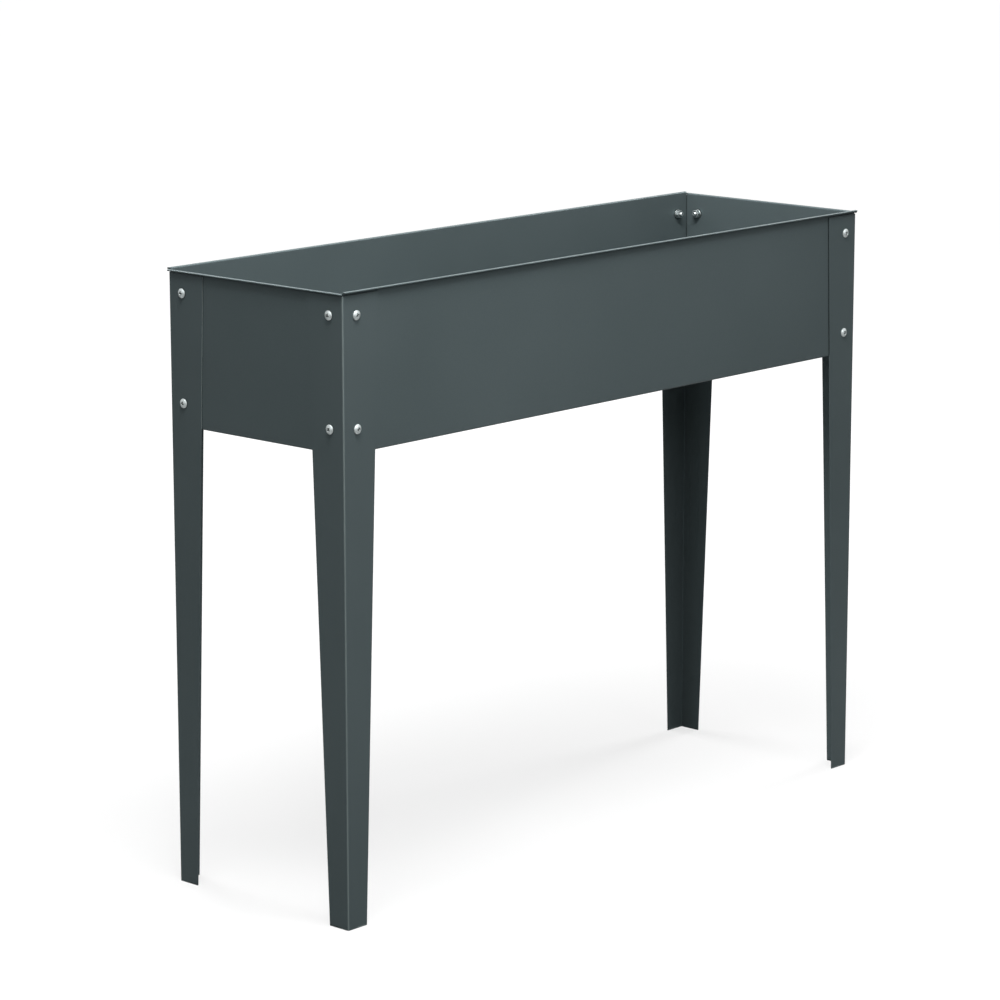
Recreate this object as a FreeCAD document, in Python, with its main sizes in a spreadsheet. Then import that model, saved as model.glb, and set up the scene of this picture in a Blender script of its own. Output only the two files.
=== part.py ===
"""Raised garden bed: a sheet steel trough bolted between four tapered angle legs.

Millimetres. The origin is on the floor below the middle of the bed, +X runs along the bed,
-Y is its front and +Z is up.
"""
import FreeCAD, Part
import math
import os
from types import SimpleNamespace

import Sketcher

# Driving dimensions: name, value, meaning
DIMENSIONS = (
    ("bed_length", 994, "over the outer faces of the legs, along X"),
    ("bed_depth", 300, "over the outer faces of the legs, along Y"),
    ("leg_height", 780, "floor to the top end of a leg"),
    ("leg_sheet", 1.2, "thickness of the legs' sheet"),
    ("leg_bend_radius", 0.8, "inside radius of a leg's fold"),
    ("leg_top_width", 60, "flange of a leg at its top end"),
    ("leg_foot_width", 32, "flange of a leg at the floor"),
    ("box_height", 196, "top of the long sides' lips to the underside of the trough"),
    ("panel_sheet", 1, "thickness of the side panels' sheet"),
    ("panel_bend_radius", 0.8, "inside radius of a side panel's bends"),
    ("lip_overhang", 3, "lip beyond the legs' outer faces"),
    ("lip_gap", 0.2, "top end of a leg to the bend of an end panel's lip"),
    ("lip_step", 2, "lips of the long sides above the lips of the ends"),
    ("lip_nose_flat", 0.2, "flat left on the rounded edge of the lip"),
    ("lip_end_gap", 0.3, "end of a lip to the outer face of the leg beside it"),
    ("corner_gap", 0.3, "end of a side panel to the sheet that it meets"),
    ("flange_width", 22, "bottom flange, from the side panel's outer face"),
    ("flange_mitre_gap", 0.5, "each flange to the mitre line at a corner"),
    ("base_sheet", 1, "thickness of the base"),
    ("base_gap", 0.4, "edge of the base to the bend of the flange beside it"),
    ("base_clip_gap", 2, "clipped corner of the base to the nuts and bolt ends"),
    ("drain_diameter", 10, "drainage hole in the base"),
    ("drain_pitch", 150, "drainage holes, spacing along the bed"),
    ("drain_row_pitch", 120, "drainage holes, spacing between the two rows"),
    ("drain_columns", 6, "drainage holes in a row"),
    ("bolt_inset", 23, "fold of a leg to the axis of a bolt"),
    ("bolt_row_inset", 29.5, "top and underside of the trough to the bolts"),
    ("bolt_diameter", 6, "shank of a bolt"),
    ("bolt_length", 12, "bolt below its head"),
    ("bolt_hole_clearance", 0.6, "bolt hole over the shank, on the diameter"),
    ("head_diameter", 12, "bolt head"),
    ("head_height", 3.3, "bolt head"),
    ("head_crown", 2, "chamfer that crowns a bolt head"),
    ("recess_span", 6.4, "cross recess, tip to tip"),
    ("recess_width", 1.7, "cross recess, width of a slot"),
    ("recess_depth", 2, "cross recess, below the top of the head"),
    ("washer_diameter", 12, "washer"),
    ("washer_thickness", 1.6, "washer"),
    ("washer_hole_clearance", 0.4, "washer hole over the shank, on the diameter"),
    ("nut_width", 10, "nut, across its flats"),
    ("nut_thickness", 5, "nut"),
    ("nut_thread_clearance", 0.1, "nut bore over the shank, on the diameter"),
)

# Room that a cut takes beyond the sheet that it trims
CUT_MARGIN = 1

# Sides that stand for a circle on the small fasteners, which repeat at every corner
ROUND_SIDES = 12
NUT_SIDES = 6

# Each corner of the bed: name, side of X, side of Y, turn of the leg about Z
CORNERS = (
    ("front_left", -1, -1, 0),
    ("front_right", 1, -1, 90),
    ("rear_right", 1, 1, 180),
    ("rear_left", -1, 1, 270),
)

UP = FreeCAD.Vector(0, 0, 1)


class Size:
    """A number that carries its formula, so that whatever uses it follows the sheet."""

    def __init__(self, value, formula=None):
        self.value = value
        self.formula = formula or repr(value)

    def __add__(self, other):
        other = as_size(other)
        return Size(self.value + other.value, f"({self.formula} + {other.formula})")

    def __sub__(self, other):
        other = as_size(other)
        return Size(self.value - other.value, f"({self.formula} - {other.formula})")

    def __mul__(self, other):
        other = as_size(other)
        return Size(self.value * other.value, f"({self.formula} * {other.formula})")

    def __truediv__(self, other):
        other = as_size(other)
        return Size(self.value / other.value, f"({self.formula} / {other.formula})")

    def __neg__(self):
        return Size(-self.value, f"(-{self.formula})")


def as_size(number):
    return number if isinstance(number, Size) else Size(number)


def larger(one, other):
    return Size(max(one.value, other.value), f"max({one.formula}; {other.formula})")


def make_sheet(doc):
    """Put the driving dimensions in a sheet, and return each as a Size by its name."""
    sheet = doc.addObject("Spreadsheet::Sheet", "Dimensions")
    sizes = {}
    for row, (alias, value, meaning) in enumerate(DIMENSIONS, start=1):
        sheet.set(f"A{row}", alias)
        sheet.set(f"B{row}", str(value))
        sheet.setAlias(f"B{row}", alias)
        sheet.set(f"C{row}", meaning)
        sizes[alias] = Size(value, f"Dimensions.{alias}")
    doc.recompute()
    return SimpleNamespace(**sizes)


def bind(thing, **sizes):
    """Bind properties of a feature to sizes."""
    for name, size in sizes.items():
        thing.setExpression(name, as_size(size).formula)


def place(thing, x, y, z, rotation):
    """Put a body or link at a bound position."""
    base = FreeCAD.Vector(x.value, y.value, z.value)
    thing.Placement = FreeCAD.Placement(base, rotation)
    thing.setExpression(".Placement.Base.x", x.formula)
    thing.setExpression(".Placement.Base.y", y.formula)
    thing.setExpression(".Placement.Base.z", z.formula)


def origin_feature(body, role):
    return next(feature for feature in body.Origin.OriginFeatures if feature.Role == role)


def new_sketch(body, role, name, height=None):
    """A sketch on one of the body's own origin planes, or at a height above it."""
    sketch = body.newObject("Sketcher::SketchObject", name)
    sketch.AttachmentSupport = (origin_feature(body, role), [""])
    sketch.MapMode = "FlatFace"
    if height is not None:
        sketch.AttachmentOffset = FreeCAD.Placement(UP * height.value, FreeCAD.Rotation())
        sketch.setExpression(".AttachmentOffset.Base.z", height.formula)
    return sketch


def measure(sketch, kind, size, *where):
    """Add one dimension to a sketch, bound to a size."""
    size = as_size(size)
    index = sketch.addConstraint(Sketcher.Constraint(kind, *where, size.value))
    sketch.setExpression(f"Constraints[{index}]", size.formula)


def locate(sketch, geometry, point, x, y):
    """Tie a point of a sketch to its distances from the sketch's origin."""
    measure(sketch, "DistanceX", x, -1, 1, geometry, point)
    measure(sketch, "DistanceY", y, -1, 1, geometry, point)


def add_circle(sketch, x, y, diameter):
    centre = FreeCAD.Vector(as_size(x).value, as_size(y).value, 0)
    circle = sketch.addGeometry(Part.Circle(centre, UP, diameter.value / 2))
    locate(sketch, circle, 3, x, y)
    measure(sketch, "Diameter", diameter, circle)


def add_outline(sketch, corners):
    """Draw a closed outline. A corner is (x, y), or (x, y, radius) where it is rounded."""
    points = [FreeCAD.Vector(as_size(c[0]).value, as_size(c[1]).value, 0) for c in corners]
    count = len(corners)
    starts, ends, arcs = [], [], {}
    for i, corner in enumerate(corners):
        back = (points[i - 1] - points[i]).normalize()
        on = (points[(i + 1) % count] - points[i]).normalize()
        if len(corner) == 2:
            ends.append(points[i])
            starts.append(points[i])
            continue
        radius = as_size(corner[2]).value
        half_turn = back.getAngle(on) / 2
        bisector = (back + on).normalize()
        centre = points[i] + bisector * (radius / math.sin(half_turn))
        ends.append(points[i] + back * (radius / math.tan(half_turn)))
        starts.append(points[i] + on * (radius / math.tan(half_turn)))
        arcs[i] = Part.Arc(ends[i], centre - bisector * radius, starts[i])
    lines = []
    for i in range(count):
        lines.append(sketch.addGeometry(Part.LineSegment(starts[i], ends[(i + 1) % count])))
    for i, corner in enumerate(corners):
        if i not in arcs:
            sketch.addConstraint(Sketcher.Constraint("Coincident", lines[i - 1], 2, lines[i], 1))
            locate(sketch, lines[i], 1, corner[0], corner[1])
            continue
        tip = sketch.addGeometry(Part.Point(points[i]), True)
        locate(sketch, tip, 1, corner[0], corner[1])
        arc = sketch.addGeometry(arcs[i])
        first, last = (1, 2) if sketch.getPoint(arc, 1).isEqual(ends[i], 1e-6) else (2, 1)
        sketch.addConstraint(Sketcher.Constraint("PointOnObject", tip, 1, lines[i - 1]))
        sketch.addConstraint(Sketcher.Constraint("PointOnObject", tip, 1, lines[i]))
        sketch.addConstraint(Sketcher.Constraint("Tangent", lines[i - 1], 2, arc, first))
        sketch.addConstraint(Sketcher.Constraint("Tangent", arc, last, lines[i], 1))
        measure(sketch, "Radius", corner[2], arc)


def add_polygon(sketch, sides, corners=None, flats=None):
    """Draw a regular outline about the origin, by its width across corners or across flats."""
    radius = corners / 2 if corners else flats / (2 * math.cos(math.pi / sides))
    outline = []
    for number in range(sides):
        turn = 2 * math.pi * number / sides
        outline.append((radius * round(math.cos(turn), 9), radius * round(math.sin(turn), 9)))
    add_outline(sketch, outline)


def add_pad(body, sketch, name, length, symmetric=False, downward=False):
    pad = body.newObject("PartDesign::Pad", name)
    pad.Profile = sketch
    pad.SideType = "Symmetric" if symmetric else "One side"
    pad.Reversed = downward
    bind(pad, Length=length)
    return pad


def add_through_cut(body, sketch, name, along_normal=False):
    """Cut a sketch through everything on one side of it."""
    cut = body.newObject("PartDesign::Pocket", name)
    cut.Profile = sketch
    cut.Type = "ThroughAll"
    cut.Reversed = along_normal
    return cut


def derive(d):
    """Levels and faces that several pieces share."""
    d.end_lip_under = d.leg_height + d.panel_bend_radius + d.lip_gap
    d.side_lip_under = d.end_lip_under + d.lip_step
    d.lip_top = d.side_lip_under + d.panel_sheet * 2
    d.box_bottom = d.lip_top - d.box_height
    d.half_length = d.bed_length / 2
    d.half_depth = d.bed_depth / 2
    d.grip = d.leg_sheet + d.panel_sheet
    d.bolt_levels = (d.box_bottom + d.bolt_row_inset, d.lip_top - d.bolt_row_inset)
    d.bolt_hole = d.bolt_diameter + d.bolt_hole_clearance


def make_leg(doc, d, corner, side_x, side_y, turn):
    """A folded angle whose two flanges are cut to a straight taper from the top to the foot."""
    name = f"{corner}_leg"
    body = doc.addObject("PartDesign::Body", name)
    section = new_sketch(body, "XY_Plane", f"{name}_section")
    add_outline(section, (
        (0, 0, d.leg_bend_radius + d.leg_sheet),
        (d.leg_top_width, 0),
        (d.leg_top_width, d.leg_sheet),
        (d.leg_sheet, d.leg_sheet, d.leg_bend_radius),
        (d.leg_sheet, d.leg_top_width),
        (0, d.leg_top_width),
    ))
    add_pad(body, section, f"{name}_angle", d.leg_height)

    slope = (d.leg_top_width - d.leg_foot_width) / d.leg_height
    beyond = d.leg_top_width + CUT_MARGIN
    for plane, along_normal in (("XZ_Plane", False), ("YZ_Plane", True)):
        taper = new_sketch(body, plane, f"{name}_taper_{plane}")
        add_outline(taper, (
            (d.leg_foot_width - slope * CUT_MARGIN, -CUT_MARGIN),
            (beyond, -CUT_MARGIN),
            (beyond, d.leg_height + CUT_MARGIN),
            (d.leg_top_width + slope * CUT_MARGIN, d.leg_height + CUT_MARGIN),
        ))
        add_through_cut(body, taper, f"{name}_taper_cut_{plane}", along_normal)
        holes = new_sketch(body, plane, f"{name}_holes_{plane}")
        for level in d.bolt_levels:
            add_circle(holes, d.bolt_inset, level, d.bolt_hole)
        add_through_cut(body, holes, f"{name}_bolt_holes_{plane}", along_normal)
    place(body, d.half_length * side_x, d.half_depth * side_y, Size(0), FreeCAD.Rotation(UP, turn))
    return body


def make_panel(doc, d, name, half_run, face, half_web, lip_under, turn):
    """A folded side sheet with a hemmed lip over the legs and a flange below the base.

    It is drawn as a front, facing -Y, with its outer face at -face, and then turned about Z.
    half_run reaches to the outer face of the legs, half_web to the end of the upright sheet,
    and lip_under is the level of the lip's underside.
    """
    body = doc.addObject("PartDesign::Body", name)
    outside = -face
    inside = outside + d.panel_sheet
    lip_tip = outside - d.leg_sheet - d.lip_overhang
    lip_top = lip_under + d.panel_sheet * 2
    flange_tip = outside + d.flange_width
    flange_top = d.box_bottom + d.panel_sheet
    outer_bend = d.panel_bend_radius + d.panel_sheet
    nose = d.panel_sheet - d.lip_nose_flat / 2
    lip_end = half_run - d.lip_end_gap

    section = new_sketch(body, "YZ_Plane", f"{name}_section")
    add_outline(section, (
        (outside, d.box_bottom, outer_bend),
        (flange_tip, d.box_bottom),
        (flange_tip, flange_top),
        (inside, flange_top, d.panel_bend_radius),
        (inside, lip_top, outer_bend),
        (lip_tip, lip_top, nose),
        (lip_tip, lip_under, nose),
        (outside, lip_under, d.panel_bend_radius),
    ))
    add_pad(body, section, f"{name}_sheet", lip_end * 2, symmetric=True)

    web_end = new_sketch(body, "XY_Plane", f"{name}_web_end", lip_under)
    beyond = half_run + CUT_MARGIN
    add_outline(web_end, (
        (half_web, lip_tip - CUT_MARGIN),
        (beyond, lip_tip - CUT_MARGIN),
        (beyond, flange_tip + CUT_MARGIN),
        (half_web, flange_tip + CUT_MARGIN),
    ))
    cuts = [add_through_cut(body, web_end, f"{name}_web_trim")]

    lip_mitre = new_sketch(body, "XY_Plane", f"{name}_lip_mitre", lip_under)
    mitre_run = d.leg_sheet + d.panel_sheet + CUT_MARGIN
    add_outline(lip_mitre, (
        (lip_end + CUT_MARGIN, outside - d.leg_sheet - CUT_MARGIN),
        (lip_end + CUT_MARGIN, inside + CUT_MARGIN),
        (lip_end - mitre_run, inside + CUT_MARGIN),
    ))
    cuts.append(add_through_cut(body, lip_mitre, f"{name}_lip_trim", along_normal=True))

    flange_mitre = new_sketch(body, "XY_Plane", f"{name}_flange_mitre", flange_top + d.panel_bend_radius)
    mitre_start = half_run - d.grip - d.flange_mitre_gap
    add_outline(flange_mitre, (
        (mitre_start, inside),
        (beyond, inside),
        (beyond, flange_tip + CUT_MARGIN),
        (mitre_start - d.flange_width + d.panel_sheet - CUT_MARGIN, flange_tip + CUT_MARGIN),
    ))
    cuts.append(add_through_cut(body, flange_mitre, f"{name}_flange_trim"))

    holes = new_sketch(body, "XZ_Plane", f"{name}_holes")
    for level in d.bolt_levels:
        add_circle(holes, half_run - d.bolt_inset, level, d.bolt_hole)
    cuts.append(add_through_cut(body, holes, f"{name}_bolt_holes", along_normal=True))

    other_end = body.newObject("PartDesign::Mirrored", f"{name}_other_end")
    other_end.Originals = cuts
    other_end.MirrorPlane = (origin_feature(body, "YZ_Plane"), [""])
    body.Tip = other_end
    body.Placement = FreeCAD.Placement(FreeCAD.Vector(), FreeCAD.Rotation(UP, turn))
    return body


def make_base(doc, d):
    """The loose floor of the trough, clipped at its corners to lift out past the nuts."""
    body = doc.addObject("PartDesign::Body", "base_panel")
    edge = d.grip + d.panel_bend_radius + d.base_gap
    half_x = d.half_length - edge
    half_y = d.half_depth - edge
    along_wall = d.bolt_inset - d.grip
    bolt_reach = along_wall + d.bolt_diameter / 2 + d.bolt_length - d.grip
    nut_reach = along_wall + d.nut_width / math.sqrt(3) + d.washer_thickness + d.nut_thickness
    edge_inside = edge - d.grip
    clip = larger(bolt_reach, nut_reach) + d.base_clip_gap * math.sqrt(2) - edge_inside * 2

    plan = new_sketch(body, "XY_Plane", "base_panel_plan", d.box_bottom + d.panel_sheet)
    add_outline(plan, (
        (half_x, half_y - clip),
        (half_x - clip, half_y),
        (-half_x + clip, half_y),
        (-half_x, half_y - clip),
        (-half_x, -half_y + clip),
        (-half_x + clip, -half_y),
        (half_x - clip, -half_y),
        (half_x, -half_y + clip),
    ))
    add_pad(body, plan, "base_panel_sheet", d.base_sheet)

    first_drains = new_sketch(body, "XY_Plane", "base_panel_first_drains", d.lip_top)
    for side in (-1, 1):
        add_circle(
            first_drains,
            -d.drain_pitch * (d.drain_columns - 1) / 2,
            d.drain_row_pitch / 2 * side,
            d.drain_diameter,
        )
    drain = add_through_cut(body, first_drains, "base_panel_drain_pair")
    drains = body.newObject("PartDesign::LinearPattern", "base_panel_drains")
    drains.Originals = [drain]
    drains.Direction = (origin_feature(body, "X_Axis"), [""])
    drains.Mode = "Spacing"
    bind(drains, Offset=d.drain_pitch, Occurrences=d.drain_columns)
    body.Tip = drains
    return body


def make_bolt(doc, d):
    """A pan head bolt with a cross recess, its seat at z = 0 and its head above that."""
    body = doc.addObject("PartDesign::Body", "bolt")
    shank = new_sketch(body, "XY_Plane", "bolt_shank_outline")
    add_polygon(shank, ROUND_SIDES, corners=d.bolt_diameter)
    add_pad(body, shank, "bolt_shank", d.bolt_length, downward=True)
    head_outline = new_sketch(body, "XY_Plane", "bolt_head_outline")
    add_polygon(head_outline, ROUND_SIDES, corners=d.head_diameter)
    head = add_pad(body, head_outline, "bolt_head", d.head_height)

    doc.recompute()
    heights = [face.CenterOfMass.z for face in head.Shape.Faces]
    crown = body.newObject("PartDesign::Chamfer", "bolt_crown")
    crown.Base = (head, [f"Face{heights.index(max(heights)) + 1}"])
    bind(crown, Size=d.head_crown)

    tip = d.recess_span / 2
    side = d.recess_width / 2
    cross = new_sketch(body, "XY_Plane", "bolt_cross", d.head_height)
    add_outline(cross, (
        (tip, -side), (tip, side), (side, side), (side, tip), (-side, tip), (-side, side),
        (-tip, side), (-tip, -side), (-side, -side), (-side, -tip), (side, -tip), (side, -side),
    ))
    recess = body.newObject("PartDesign::Pocket", "bolt_recess")
    recess.Profile = cross
    bind(recess, Length=d.recess_depth)
    return body


def make_washer(doc, d):
    """A flat washer on the inner face of a side panel."""
    body = doc.addObject("PartDesign::Body", "washer")
    ring = new_sketch(body, "XY_Plane", "washer_ring", -d.grip)
    add_polygon(ring, ROUND_SIDES, corners=d.washer_diameter)
    add_polygon(ring, ROUND_SIDES, flats=d.bolt_diameter + d.washer_hole_clearance)
    add_pad(body, ring, "washer_plate", d.washer_thickness, downward=True)
    return body


def make_nut(doc, d):
    """A hexagon nut under the washer."""
    body = doc.addObject("PartDesign::Body", "nut")
    hexagon = new_sketch(body, "XY_Plane", "nut_hexagon", -d.grip - d.washer_thickness)
    add_polygon(hexagon, NUT_SIDES, flats=d.nut_width)
    add_polygon(hexagon, ROUND_SIDES, flats=d.bolt_diameter + d.nut_thread_clearance)
    add_pad(body, hexagon, "nut_block", d.nut_thickness, downward=True)
    return body


def make_fasteners(doc, d, corner, side_x, side_y, kinds):
    """Four bolts with their washers and nuts through one leg, each kind as one group."""
    toward_end = FreeCAD.Rotation(UP, FreeCAD.Vector(side_x, 0, 0))
    toward_side = FreeCAD.Rotation(UP, FreeCAD.Vector(0, side_y, 0))
    stations = []
    for level in d.bolt_levels:
        stations.append(((d.half_length - d.bolt_inset) * side_x, d.half_depth * side_y, level, toward_side))
        stations.append((d.half_length * side_x, (d.half_depth - d.bolt_inset) * side_y, level, toward_end))
    groups = []
    for kind, model in kinds.items():
        links = []
        for number, station in enumerate(stations, start=1):
            link = doc.addObject("App::Link", f"{corner}_{kind}_{number}")
            link.LinkedObject = model
            place(link, *station)
            links.append(link)
        group = doc.addObject("Part::Compound", f"{corner}_{kind}s")
        group.Links = links
        groups.append(group)
    return groups


def build(doc):
    """Make every piece of the bed and return the pieces that are written out."""
    d = make_sheet(doc)
    derive(d)
    side_face = d.half_depth - d.leg_sheet
    end_face = d.half_length - d.leg_sheet
    side_web = end_face - d.leg_bend_radius - d.corner_gap
    end_web = side_face - d.panel_sheet - d.corner_gap
    pieces = [
        make_panel(doc, d, "front_panel", d.half_length, side_face, side_web, d.side_lip_under, 0),
        make_panel(doc, d, "right_end_panel", d.half_depth, end_face, end_web, d.end_lip_under, 90),
        make_panel(doc, d, "rear_panel", d.half_length, side_face, side_web, d.side_lip_under, 180),
        make_panel(doc, d, "left_end_panel", d.half_depth, end_face, end_web, d.end_lip_under, 270),
        make_base(doc, d),
    ]
    kinds = {"bolt": make_bolt(doc, d), "washer": make_washer(doc, d), "nut": make_nut(doc, d)}
    for corner, side_x, side_y, turn in CORNERS:
        pieces.append(make_leg(doc, d, corner, side_x, side_y, turn))
        pieces += make_fasteners(doc, d, corner, side_x, side_y, kinds)
    doc.recompute()
    return pieces


def check(doc, pieces):
    """Stop if a feature failed or a piece has no sound solid."""
    for thing in doc.Objects:
        if {"Invalid", "Error"} & set(thing.State):
            raise RuntimeError(f"{thing.Name} failed: {thing.State}")
    for piece in pieces:
        if piece.Shape.isNull() or not piece.Shape.isValid() or not piece.Shape.Solids:
            raise RuntimeError(f"{piece.Label} is not a sound solid")


def main():
    doc = FreeCAD.newDocument("raised_garden_bed")
    pieces = build(doc)
    check(doc, pieces)
    os.makedirs("parts", exist_ok=True)
    for piece in pieces:
        piece.Shape.exportStep(f"parts/{piece.Label}.step")
        print(piece.Label, len(piece.Shape.Solids), "solids", round(piece.Shape.Volume), "mm3")


main()
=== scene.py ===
"""Looks of a raised garden bed: powder-coated folded sheet and bright zinc fasteners in a white studio.

Metres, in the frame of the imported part: +X along the bed, -Y its front, +Z up, the origin on the floor.
"""
import math

import bmesh
import bpy
from mathutils import Matrix, Vector


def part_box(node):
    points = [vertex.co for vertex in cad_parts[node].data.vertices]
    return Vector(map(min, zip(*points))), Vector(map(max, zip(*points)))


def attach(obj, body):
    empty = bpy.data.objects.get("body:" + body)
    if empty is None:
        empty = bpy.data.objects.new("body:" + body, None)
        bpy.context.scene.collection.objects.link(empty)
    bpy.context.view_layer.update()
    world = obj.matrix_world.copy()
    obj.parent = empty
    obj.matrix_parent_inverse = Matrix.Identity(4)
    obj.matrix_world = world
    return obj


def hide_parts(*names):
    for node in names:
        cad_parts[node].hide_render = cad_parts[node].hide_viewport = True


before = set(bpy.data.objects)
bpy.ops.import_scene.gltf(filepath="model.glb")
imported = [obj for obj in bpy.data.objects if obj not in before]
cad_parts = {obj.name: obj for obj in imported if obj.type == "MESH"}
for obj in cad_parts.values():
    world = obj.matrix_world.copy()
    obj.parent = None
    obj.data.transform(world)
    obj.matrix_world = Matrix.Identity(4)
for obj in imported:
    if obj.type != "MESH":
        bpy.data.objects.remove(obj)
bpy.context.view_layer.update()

# Camera, fitted to the edges, bolts and feet of the photographed bed
CAMERA_PIVOT = Vector((0, 0, 0.4))
CAMERA_AZIMUTH = math.radians(-47.541)
CAMERA_ELEVATION = math.radians(11.959)
CAMERA_ROLL = math.radians(-0.057)
CAMERA_DISTANCE = 4.925
CAMERA_ASIDE = -0.0401
CAMERA_RAISE = 0.0361
SENSOR_WIDTH = 36
LENS = 134.62

# Powder coat, linear colours: its grain, its gleam, painted shade at joints and on some cut edges, painted
# highlights on folds and other cut edges
COAT_DARK = (0.060, 0.077, 0.080, 1)
COAT_LIGHT = (0.079, 0.099, 0.103, 1)
COAT_GLEAM = (0.55, 0.93, 1.0, 1)
COAT_SHADE = (0.010, 0.012, 0.012, 1)
COAT_FOLD_HIGHLIGHT = (0.15, 0.18, 0.18, 1)
COAT_EDGE_HIGHLIGHT = (0.19, 0.225, 0.225, 1)

# Powder coat, finish: noises in features per metre, bumps in metres
COAT_DRIFT = {"scale": 3.1, "detail": 2}
COAT_DRIFT_SHARE = 0.6
COAT_GRAIN = {"scale": 1300, "detail": 1}
COAT_GRAIN_SHARE = 0.4
COAT_PATCHES = {"scale": 22, "detail": 3}
COAT_ROUGHNESS = (0.4, 0.48)
COAT_IOR = 1.5
COAT_SPECULAR = 0.24
SHEET_WAVES = {"scale": 5.5, "detail": 1}
SHEET_BUMP = {"strength": 1.0, "depth": 0.0009}
PEEL_SPOTS = {"scale": 430, "detail": 2}
PEEL_BUMP = {"strength": 0.35, "depth": 0.00012}

# Painted shade at the panels' joints: how near another sheet lies, and the openings where the painted shade
# is full and gone
JOINT_REACH = 0.0015
JOINT_OPENING = (0.6, 1.0)

# Painted highlight and shade on the legs' cut edges: how near the panel lies, the openings, the normals, and
# the distances from the fold
EDGE_REACH = 0.004
EDGE_OPENING = (0.85, 0.55)
EDGE_FACING = (0.7, 0.95)
EDGE_FROM_FOLD = (0.01, 0.02)

# The crest of the legs' outer fold, where a highlight is painted, in fold radii from the corner where the
# flanges' faces would meet
FOLD_RADIUS = 0.002
FOLD_EDGE = 0.9
FOLD_CREST = 0.62

# Bright zinc plate: linear colours, painted shade in recesses and at contacts, and finish, as for the coat
ZINC_DARK = (0.41, 0.45, 0.45, 1)
ZINC_LIGHT = (0.58, 0.63, 0.63, 1)
ZINC_SHADE = (0.1, 0.11, 0.11, 1)
ZINC_REACH = 0.003
ZINC_OPENING = (0.3, 0.95)
ZINC_CLOUDS = {"scale": 420, "detail": 3}
ZINC_PATCHES = {"scale": 900, "detail": 2}
ZINC_ROUGHNESS = (0.42, 0.54)
ZINC_DENTS = {"scale": 1500, "detail": 2}
ZINC_BUMP = {"strength": 0.3, "depth": 0.00004}

# Shading: the used middle of a noise, rays for an opening, and the colour sockets of a mix node
NOISE_RANGE = (0.3, 0.7)
OPENING_SAMPLES = 8
MIX_FACTOR = 0
MIX_COLOURS = (6, 7)
MIX_RESULT = 2

# Fasteners: a 6 mm pan head bolt with a cross recess, its washer and its nut
HEAD_DIAMETER = 0.012
HEAD_HEIGHT = 0.0033
HEAD_RIM = 0.0009
HEAD_EDGE = 0.0003
RECESS_SPAN = 0.0064
RECESS_WIDTH = 0.0017
RECESS_DEPTH = 0.0021
RECESS_TAPER = 0.55
WELL_MOUTH = 0.0019
WELL_FLOOR = 0.0009
WELL_POINT = 0.0002
SHANK_DIAMETER = 0.006
SHANK_LENGTH = 0.012
THREAD_PITCH = 0.001
THREAD_DEPTH = 0.00055
THREAD_LENGTH = 0.0052
THREAD_POINT = 0.0007
GRIP = 0.0022
WASHER_DIAMETER = 0.012
WASHER_BORE = 0.0064
WASHER_THICKNESS = 0.0016
WASHER_EDGE = 0.00025
NUT_SIDES = 6
NUT_WIDTH = 0.010
NUT_THICKNESS = 0.005
NUT_BORE = 0.0061
NUT_FACE = 0.0095
NUT_CHAMFER = math.radians(30)
NUT_MARGIN = 0.0005

# Meshes of the fasteners: steps round a turned form, along a dome and along one pitch of thread
TURN_STEPS = 48
HALF_STEP = 0.5
DOME_STEPS = 10
THREAD_ROWS = 8
SHARP_ANGLE = math.radians(35)

# Fasteners in their places, each turned a little differently about its axis, in degrees
CORNERS = ("front_left", "front_right", "rear_right", "rear_left")
CORNER_TURN = 37
STATION_TURN = 53

# Studio floor: its glow to the camera and in reflections by the distance from the bed's middle, and how much
# of the glow in reflections is left towards the right
FLOOR_REACH = 40
FLOOR_COLOUR = (0.19, 0.19, 0.19, 1)
FLOOR_SEEN_SPAN = (0.3, 3.0)
FLOOR_SEEN = (0.7, 1.0)
FLOOR_MIRRORED_SPAN = (1.4, 3.4)
FLOOR_MIRRORED = (0.36, 0.25)
FLOOR_RIGHT_SPAN = (1.8, 3.4)
FLOOR_RIGHT_SHARE = (1.0, 0.2)

# Background: white where it is seen, and elsewhere a faint sky by the height of the direction
BACKGROUND_COLOUR = (1, 1, 1, 1)
SKY_SPAN = (-0.1, 1.0)
SKY_STRENGTH = (0.01, 0.03)

# Softboxes: where each stands, what it points at, its width and height, and its power in watts
SOFTBOXES = {
    "overhead": ((-0.5, -0.5, 3.4), (0, 0, 0.55), (3.0, 3.0), 62),
    "front_top": ((-0.6, -0.64, 2.3), (-0.2, -0.15, 0.6), (1.2, 0.4), 46),
    "end_top": ((-1.35, -0.5, 3.2), (-0.5, 0, 0.6), (0.8, 1.6), 18),
    "camera_side": ((-2.5, -2.3, 2.2), (-0.5, -0.15, 0.5), (0.5, 1.6), 26),
    "front": ((0.0, -2.4, 2.0), (-0.1, -0.15, 0.65), (0.8, 0.8), 9),
    "rear": ((0.1, 2.5, 2.6), (0, 0.15, 0.6), (1.2, 0.8), 62),
    "right": ((2.8, 0.1, 2.6), (0.5, 0, 0.6), (0.8, 0.8), 53),
}


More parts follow.
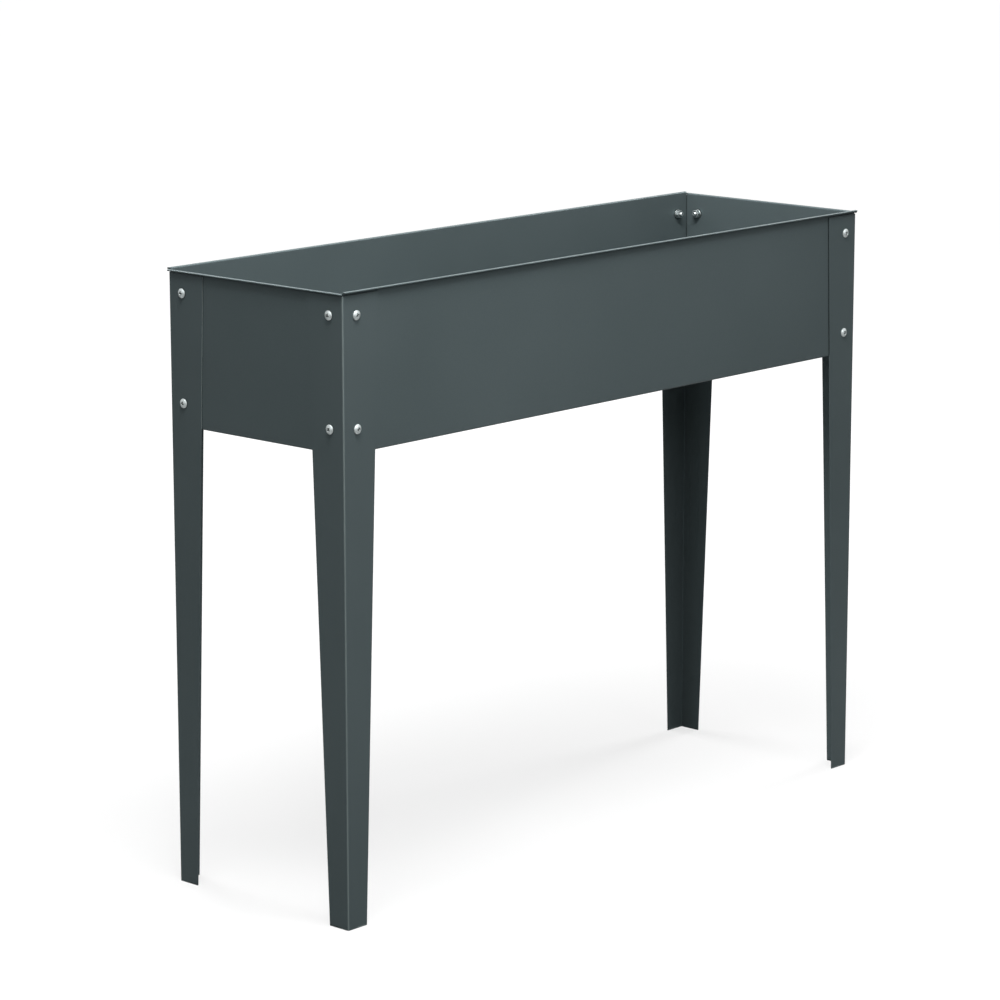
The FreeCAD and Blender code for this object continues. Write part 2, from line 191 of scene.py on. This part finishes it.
class Nodes:
    """Adds nodes to a tree. An input given as a socket is linked, and any other value is set."""

    def __init__(self, tree):
        self.tree = tree
        tree.nodes.clear()

    def add(self, kind, inputs=None, **settings):
        node = self.tree.nodes.new("ShaderNode" + kind)
        for name, value in settings.items():
            setattr(node, name, value)
        for name, value in (inputs or {}).items():
            if isinstance(value, bpy.types.NodeSocket):
                self.tree.links.new(value, node.inputs[name])
            else:
                node.inputs[name].default_value = value
        return node

    def spread(self, value, source, target=(0.0, 1.0)):
        """Map a value from one range to another, and clamp it there."""
        inputs = {
            "Value": value, "From Min": source[0], "From Max": source[1],
            "To Min": target[0], "To Max": target[1],
        }
        return self.add("MapRange", inputs).outputs["Result"]

    def noise(self, position, scale, detail):
        inputs = {"Vector": position, "Scale": scale, "Detail": detail}
        return self.add("TexNoise", inputs).outputs["Fac"]

    def cloud(self, position, noise, target=(0.0, 1.0)):
        """The middle of a noise, spread over a range."""
        return self.spread(self.noise(position, **noise), NOISE_RANGE, target)

    def bump(self, height, strength, depth, over=None):
        """A normal bumped by a height, over another bumped normal if there is one."""
        inputs = {"Height": height, "Strength": strength, "Distance": depth}
        if over:
            inputs["Normal"] = over
        return self.add("Bump", inputs).outputs["Normal"]

    def opening(self, reach):
        """1 where nothing is nearer than the reach, and less beside other surfaces."""
        return self.add("AmbientOcclusion", {"Distance": reach}, samples=OPENING_SAMPLES).outputs["AO"]

    def calculate(self, operation, one, other):
        return self.add("Math", {0: one, 1: other}, operation=operation).outputs["Value"]

    def absolute(self, value):
        return self.add("Math", {0: value}, operation="ABSOLUTE").outputs["Value"]

    def axes(self, vector):
        return self.add("SeparateXYZ", {0: vector}).outputs

    def mix(self, factor, one, other):
        """Mix two colours."""
        inputs = {MIX_FACTOR: factor, MIX_COLOURS[0]: one, MIX_COLOURS[1]: other}
        return self.add("Mix", inputs, data_type="RGBA").outputs[MIX_RESULT]


def new_material(name):
    material = bpy.data.materials.new(name)
    material.use_nodes = True
    return material, Nodes(material.node_tree)


def from_fold(nodes, position):
    """How far a point of a leg lies from its outer corner, measured along both flanges together."""
    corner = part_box("rear_right_leg")[1]
    axes = nodes.axes(position)
    reach = nodes.calculate("ADD", nodes.absolute(axes["X"]), nodes.absolute(axes["Y"]))
    return nodes.calculate("SUBTRACT", corner.x + corner.y, reach)


def on_fold(nodes, distance):
    """1 along the crest of a leg's outer fold, 0 on its flanges and inside it."""
    return nodes.spread(distance, (FOLD_EDGE * FOLD_RADIUS, FOLD_CREST * FOLD_RADIUS))


def on_cut_edge(nodes, distance, axis):
    """1 on a leg's cut edge that faces along an axis and lies on a panel, 0 on the open faces."""
    normal = nodes.add("TexCoord").outputs["Normal"]
    facing = nodes.spread(nodes.absolute(nodes.axes(normal)[axis]), EDGE_FACING)
    closed = nodes.spread(nodes.opening(EDGE_REACH), EDGE_OPENING)
    clear = nodes.spread(distance, EDGE_FROM_FOLD)
    return nodes.calculate("MULTIPLY", nodes.calculate("MULTIPLY", facing, closed), clear)


def make_powder_coat(name, folded):
    """Satin powder coat: a fine grain and orange peel, on thin sheet that isn't quite flat.

    A folded leg has a painted highlight along its fold, a painted highlight on cut edges that face along Y
    and painted shade on those along X.
    A panel has painted shade at its joints.
    """
    material, nodes = new_material(name)
    position = nodes.add("TexCoord").outputs["Object"]
    drift = nodes.calculate("MULTIPLY", nodes.cloud(position, COAT_DRIFT), COAT_DRIFT_SHARE)
    grain = nodes.calculate("MULTIPLY", nodes.cloud(position, COAT_GRAIN), COAT_GRAIN_SHARE)
    colour = nodes.mix(nodes.calculate("ADD", drift, grain), COAT_DARK, COAT_LIGHT)
    if folded:
        distance = from_fold(nodes, position)
        # Painted highlight along the crest of each leg's outer fold
        colour = nodes.mix(on_fold(nodes, distance), colour, COAT_FOLD_HIGHLIGHT)
        # Painted highlight on the legs' cut edges that face along Y
        colour = nodes.mix(on_cut_edge(nodes, distance, "Y"), colour, COAT_EDGE_HIGHLIGHT)
        # Painted shade on the legs' cut edges that face along X
        colour = nodes.mix(on_cut_edge(nodes, distance, "X"), colour, COAT_SHADE)
    else:
        # Painted shade where the panel lies close to another sheet
        opening = nodes.spread(nodes.opening(JOINT_REACH), JOINT_OPENING)
        colour = nodes.mix(opening, COAT_SHADE, colour)
    waves = nodes.bump(nodes.noise(position, **SHEET_WAVES), **SHEET_BUMP)
    peel = nodes.bump(nodes.noise(position, **PEEL_SPOTS), **PEEL_BUMP, over=waves)
    surface = nodes.add("BsdfPrincipled", {
        "Base Color": colour,
        "Roughness": nodes.cloud(position, COAT_PATCHES, COAT_ROUGHNESS),
        "Normal": peel,
        "IOR": COAT_IOR,
        "Specular IOR Level": COAT_SPECULAR,
        "Specular Tint": COAT_GLEAM,
    })
    nodes.add("OutputMaterial", {"Surface": surface.outputs["BSDF"]})
    return material


def make_zinc():
    """Bright zinc plate: faint clouding, small dents, and painted shade in its recesses and where it meets
    other parts.
    """
    material, nodes = new_material("zinc_bright")
    position = nodes.add("TexCoord").outputs["Object"]
    colour = nodes.mix(nodes.cloud(position, ZINC_CLOUDS), ZINC_DARK, ZINC_LIGHT)
    # Painted shade in the recesses and where the fastener meets other parts
    colour = nodes.mix(nodes.spread(nodes.opening(ZINC_REACH), ZINC_OPENING), ZINC_SHADE, colour)
    dents = nodes.bump(nodes.noise(position, **ZINC_DENTS), **ZINC_BUMP)
    surface = nodes.add("BsdfPrincipled", {
        "Base Color": colour,
        "Metallic": 1.0,
        "Roughness": nodes.cloud(position, ZINC_PATCHES, ZINC_ROUGHNESS),
        "Normal": dents,
    })
    nodes.add("OutputMaterial", {"Surface": surface.outputs["BSDF"]})
    return material


def circle(radius, height, offset=0.0):
    """Points round the Z axis. The offset turns them by a part of a step."""
    points = []
    for step in range(TURN_STEPS):
        angle = 2 * math.pi * (step + offset) / TURN_STEPS
        points.append((radius * math.cos(angle), radius * math.sin(angle), height))
    return points


def skin(rings, closed=False):
    """A mesh through rings of points. A ring of one point is a tip on the axis."""
    mesh = bmesh.new()
    loops = []
    for ring in rings:
        vertices = [mesh.verts.new(point) for point in ring]
        loops.append(vertices * TURN_STEPS if len(vertices) == 1 else vertices)
    pairs = list(zip(loops, loops[1:]))
    if closed:
        pairs.append((loops[-1], loops[0]))
    for lower, upper in pairs:
        for step in range(TURN_STEPS):
            after = (step + 1) % TURN_STEPS
            corners = (lower[step], lower[after], upper[after], upper[step])
            mesh.faces.new(list(dict.fromkeys(corners)))
    return mesh


def turned_rings(profile, offset=0.0):
    """Rings of a turned form through (radius, height) points."""
    rings = []
    for radius, height in profile:
        rings.append(circle(radius, height, offset) if radius else [(0, 0, height)])
    return rings


def prism(outline, low, high, taper=1.0):
    """A straight block between two heights. Its low end is the outline shrunk by the taper."""
    mesh = bmesh.new()
    bottom = [mesh.verts.new((x * taper, y * taper, low)) for x, y in outline]
    top = [mesh.verts.new((x, y, high)) for x, y in outline]
    mesh.faces.new(bottom[::-1])
    mesh.faces.new(top)
    for i in range(len(outline)):
        after = (i + 1) % len(outline)
        mesh.faces.new((bottom[i], bottom[after], top[after], top[i]))
    return mesh


def as_object(mesh, name):
    bmesh.ops.recalc_face_normals(mesh, faces=mesh.faces)
    data = bpy.data.meshes.new(name)
    mesh.to_mesh(data)
    mesh.free()
    thing = bpy.data.objects.new(name, data)
    bpy.context.scene.collection.objects.link(thing)
    return thing


def combine(first, second, operation):
    """The mesh of a boolean of two working objects, which are removed."""
    modifier = first.modifiers.new("combine", "BOOLEAN")
    modifier.operation = operation
    modifier.solver = "EXACT"
    modifier.object = second
    evaluated = first.evaluated_get(bpy.context.evaluated_depsgraph_get())
    mesh = bmesh.new()
    mesh.from_mesh(evaluated.to_mesh())
    evaluated.to_mesh_clear()
    for thing in (first, second):
        data = thing.data
        bpy.data.objects.remove(thing)
        bpy.data.meshes.remove(data)
    return mesh


def arc(centre, radius, start, end, steps):
    """Points of an arc in a turned section, angles in radians."""
    points = []
    for step in range(steps + 1):
        angle = start + (end - start) * step / steps
        points.append((centre[0] + radius * math.cos(angle), centre[1] + radius * math.sin(angle)))
    return points


def head_profile():
    """The section of a domed pan head, from its seat at z = 0 to its crown."""
    edge = HEAD_DIAMETER / 2
    rise = HEAD_HEIGHT - HEAD_RIM
    crown = (edge ** 2 + rise ** 2) / (2 * rise)
    middle = HEAD_HEIGHT - crown
    start = math.atan2(HEAD_RIM - middle, edge)
    dome = arc((0, middle), crown, start, math.pi / 2, DOME_STEPS)[:-1]
    return [(edge - HEAD_EDGE, 0), (edge, HEAD_EDGE)] + dome + [(0, HEAD_HEIGHT)]


def thread_rings():
    """Rings of the shank below the head, with a helical thread on the end that shows."""
    core = SHANK_DIAMETER / 2
    thread_top = -SHANK_LENGTH + THREAD_LENGTH
    rows = round(THREAD_LENGTH / THREAD_PITCH * THREAD_ROWS)
    rings = []
    for row in range(rows + 1):
        height = -SHANK_LENGTH + THREAD_LENGTH * row / rows
        point = min(1, (height + SHANK_LENGTH) / THREAD_POINT)
        runout = min(1, (thread_top - height) / THREAD_PITCH)
        ring = []
        for step, (x, y, level) in enumerate(circle(1, height)):
            phase = (height / THREAD_PITCH - step / TURN_STEPS) % 1
            groove = abs(2 * phase - 1)
            radius = core - THREAD_DEPTH * max(groove * runout, 1 - point)
            ring.append((radius * x, radius * y, level))
        rings.append(ring)
    return rings + [circle(core, 0)]


def make_bolt():
    """A bolt with its seat at z = 0: a threaded shank, and a domed head with a cross recess and its well."""
    tip = RECESS_SPAN / 2
    side = RECESS_WIDTH / 2
    cross = (
        (tip, -side), (tip, side), (side, side), (side, tip), (-side, tip), (-side, side),
        (-tip, side), (-tip, -side), (-side, -side), (-side, -tip), (side, -tip), (side, -side),
    )
    floor = HEAD_HEIGHT - RECESS_DEPTH
    above = HEAD_HEIGHT + WELL_POINT
    point = (
        (0, floor - 2 * WELL_POINT), (WELL_FLOOR, floor - WELL_POINT), (WELL_MOUTH, above), (0, above),
    )
    rings = [[(0, 0, -SHANK_LENGTH)]] + thread_rings() + turned_rings(head_profile())
    blank = as_object(skin(rings), "bolt_blank")
    slots = as_object(prism(cross, floor, above, RECESS_TAPER), "bolt_slots")
    slotted = as_object(combine(blank, slots, "DIFFERENCE"), "bolt_slotted")
    well = as_object(skin(turned_rings(point, HALF_STEP)), "bolt_well")
    return combine(slotted, well, "DIFFERENCE")


def make_washer():
    """A stamped ring with softened edges, on the inner face of the panel."""
    outer = WASHER_DIAMETER / 2
    inner = WASHER_BORE / 2
    top = -GRIP
    bottom = top - WASHER_THICKNESS
    ease = WASHER_EDGE
    section = (
        (inner, top - ease), (inner + ease, top), (outer - ease, top), (outer, top - ease),
        (outer, bottom + ease), (outer - ease, bottom), (inner + ease, bottom), (inner, bottom + ease),
    )
    return skin(turned_rings(section), closed=True)


def make_nut():
    """A hexagon nut with its corners turned off at both ends and a countersunk bore."""
    corner = NUT_WIDTH / 2 / math.cos(math.pi / NUT_SIDES)
    face = NUT_FACE / 2
    outer = corner + NUT_MARGIN
    bore = NUT_BORE / 2
    top = -GRIP - WASHER_THICKNESS
    bottom = top - NUT_THICKNESS
    drop = (outer - face) * math.tan(NUT_CHAMFER)
    sink = THREAD_DEPTH
    hexagon = []
    for number in range(NUT_SIDES):
        angle = 2 * math.pi * number / NUT_SIDES
        hexagon.append((corner * math.cos(angle), corner * math.sin(angle)))
    section = (
        (bore, bottom + sink), (bore + sink, bottom), (face, bottom), (outer, bottom + drop),
        (outer, top - drop), (face, top), (bore + sink, top), (bore, top - sink),
    )
    block = as_object(prism(hexagon, bottom - NUT_MARGIN, top + NUT_MARGIN), "nut_block")
    turning = as_object(skin(turned_rings(section, HALF_STEP), closed=True), "nut_turning")
    return combine(block, turning, "INTERSECT")


def stations(corner):
    """Where the bolts of a corner stand: frames on the leg's faces, with +Z pointing outward."""
    low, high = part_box(f"{corner}_bolts")
    leg_low, leg_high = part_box(f"{corner}_leg")
    radius = HEAD_DIAMETER / 2
    right = corner.endswith("right")
    rear = corner.startswith("rear")
    out_x = Vector((1 if right else -1, 0, 0))
    out_y = Vector((0, 1 if rear else -1, 0))
    face_x = leg_high.x if right else leg_low.x
    face_y = leg_high.y if rear else leg_low.y
    axis_x = low.x + radius if right else high.x - radius
    axis_y = low.y + radius if rear else high.y - radius
    frames = []
    for level in (low.z + radius, high.z - radius):
        on_side = (Vector((axis_x, face_y, level)), out_y)
        on_end = (Vector((face_x, axis_y, level)), out_x)
        for place, outward in (on_side, on_end):
            turn = outward.to_track_quat("Z", "Y").to_matrix().to_4x4()
            frames.append(Matrix.Translation(place) @ turn)
    return frames


def add_group(corner, kind, model, material, first_turn):
    """The fasteners of one kind at a corner as one piece."""
    mesh = bmesh.new()
    for number, station in enumerate(stations(corner)):
        copy = model.copy()
        turn = math.radians(first_turn + STATION_TURN * number)
        copy.transform(station @ Matrix.Rotation(turn, 4, "Z"))
        mesh.from_mesh(copy)
        bpy.data.meshes.remove(copy)
    piece = as_object(mesh, f"{corner}_{kind}_detail")
    piece.data.materials.append(material)
    piece.data.shade_smooth()
    piece.data.set_sharp_from_angle(angle=SHARP_ANGLE)
    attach(piece, "bed")
    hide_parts(f"{corner}_{kind}")


def add_fasteners(material):
    makers = {"bolts": make_bolt, "washers": make_washer, "nuts": make_nut}
    for kind, maker in makers.items():
        model = bpy.data.meshes.new(kind)
        shape = maker()
        bmesh.ops.recalc_face_normals(shape, faces=shape.faces)
        shape.to_mesh(model)
        shape.free()
        for number, corner in enumerate(CORNERS):
            add_group(corner, kind, model, material, CORNER_TURN * number)
        bpy.data.meshes.remove(model)


def paint_sheets():
    """Give the folded sheets their coat."""
    coats = {
        "_leg": make_powder_coat("powder_coat_leg", folded=True),
        "_panel": make_powder_coat("powder_coat_panel", folded=False),
    }
    for name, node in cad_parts.items():
        for ending, coat in coats.items():
            if name.endswith(ending):
                node.data.materials.clear()
                node.data.materials.append(coat)


def mirrored_ray(nodes, path):
    """1 for a ray that shows something in metal or glass."""
    return nodes.calculate("MAXIMUM", path["Is Glossy Ray"], path["Is Transmission Ray"])


def make_floor_white():
    """A matt floor that glows white to the camera, more so away from the bed, and dimly in reflections."""
    material, nodes = new_material("floor_white")
    path = nodes.add("LightPath").outputs
    position = nodes.add("TexCoord").outputs["Object"]
    distance = nodes.add("VectorMath", {0: position}, operation="LENGTH").outputs["Value"]
    seen = nodes.spread(distance, FLOOR_SEEN_SPAN, FLOOR_SEEN)
    outward = nodes.spread(distance, FLOOR_MIRRORED_SPAN, FLOOR_MIRRORED)
    dimmed = nodes.spread(nodes.axes(position)["X"], FLOOR_RIGHT_SPAN, FLOOR_RIGHT_SHARE)
    reflected = nodes.calculate("MULTIPLY", outward, dimmed)
    strength = nodes.calculate(
        "ADD",
        nodes.calculate("MULTIPLY", seen, path["Is Camera Ray"]),
        nodes.calculate("MULTIPLY", reflected, mirrored_ray(nodes, path)),
    )
    matt = nodes.add("BsdfDiffuse", {"Color": FLOOR_COLOUR}).outputs["BSDF"]
    glow = nodes.add("Emission", {"Strength": strength}).outputs["Emission"]
    both = nodes.add("AddShader", {0: matt, 1: glow}).outputs["Shader"]
    nodes.add("OutputMaterial", {"Surface": both})
    return material


def make_floor():
    """A white studio floor that keeps the bed's shadow."""
    reach = FLOOR_REACH
    corners = [(-reach, -reach, 0), (reach, -reach, 0), (reach, reach, 0), (-reach, reach, 0)]
    data = bpy.data.meshes.new("floor")
    data.from_pydata(corners, [], [tuple(range(len(corners)))])
    data.materials.append(make_floor_white())
    floor = bpy.data.objects.new("floor", data)
    bpy.context.scene.collection.objects.link(floor)


def make_world():
    """A white background where it is seen, and faint light from above elsewhere."""
    world = bpy.data.worlds.new("studio")
    world.use_nodes = True
    bpy.context.scene.world = world
    nodes = Nodes(world.node_tree)
    path = nodes.add("LightPath").outputs
    shown = nodes.calculate("MAXIMUM", path["Is Camera Ray"], mirrored_ray(nodes, path))
    height = nodes.axes(nodes.add("TexCoord").outputs["Generated"])["Z"]
    strength = nodes.calculate("MAXIMUM", shown, nodes.spread(height, SKY_SPAN, SKY_STRENGTH))
    background = nodes.add("Background", {"Color": BACKGROUND_COLOUR, "Strength": strength})
    nodes.add("OutputWorld", {"Surface": background.outputs["Background"]})


def add_lights():
    for name, (place, target, size, power) in SOFTBOXES.items():
        lamp = bpy.data.lights.new(name, "AREA")
        lamp.shape = "RECTANGLE"
        lamp.size, lamp.size_y = size
        lamp.energy = power
        thing = bpy.data.objects.new(name, lamp)
        thing.location = place
        thing.rotation_euler = (Vector(target) - Vector(place)).to_track_quat("-Z", "Y").to_euler()
        thing.visible_camera = False
        bpy.context.scene.collection.objects.link(thing)


def add_camera():
    """The camera stands off the pivot along its own axes."""
    back = Vector((
        math.sin(CAMERA_AZIMUTH) * math.cos(CAMERA_ELEVATION),
        -math.cos(CAMERA_AZIMUTH) * math.cos(CAMERA_ELEVATION),
        math.sin(CAMERA_ELEVATION),
    ))
    level_right = Vector((0, 0, 1)).cross(back).normalized()
    level_up = back.cross(level_right)
    right = level_right * math.cos(CAMERA_ROLL) + level_up * math.sin(CAMERA_ROLL)
    up = level_up * math.cos(CAMERA_ROLL) - level_right * math.sin(CAMERA_ROLL)
    place = CAMERA_PIVOT + right * CAMERA_ASIDE + up * CAMERA_RAISE + back * CAMERA_DISTANCE
    data = bpy.data.cameras.new("camera")
    data.sensor_width = SENSOR_WIDTH
    data.lens = LENS
    camera = bpy.data.objects.new("camera", data)
    camera.matrix_world = Matrix((
        (right.x, up.x, back.x, place.x),
        (right.y, up.y, back.y, place.y),
        (right.z, up.z, back.z, place.z),
        (0, 0, 0, 1),
    ))
    bpy.context.scene.collection.objects.link(camera)
    bpy.context.scene.camera = camera


paint_sheets()
add_fasteners(make_zinc())
make_floor()
make_world()
add_lights()
add_camera()
bpy.context.scene.view_settings.view_transform = "Standard"
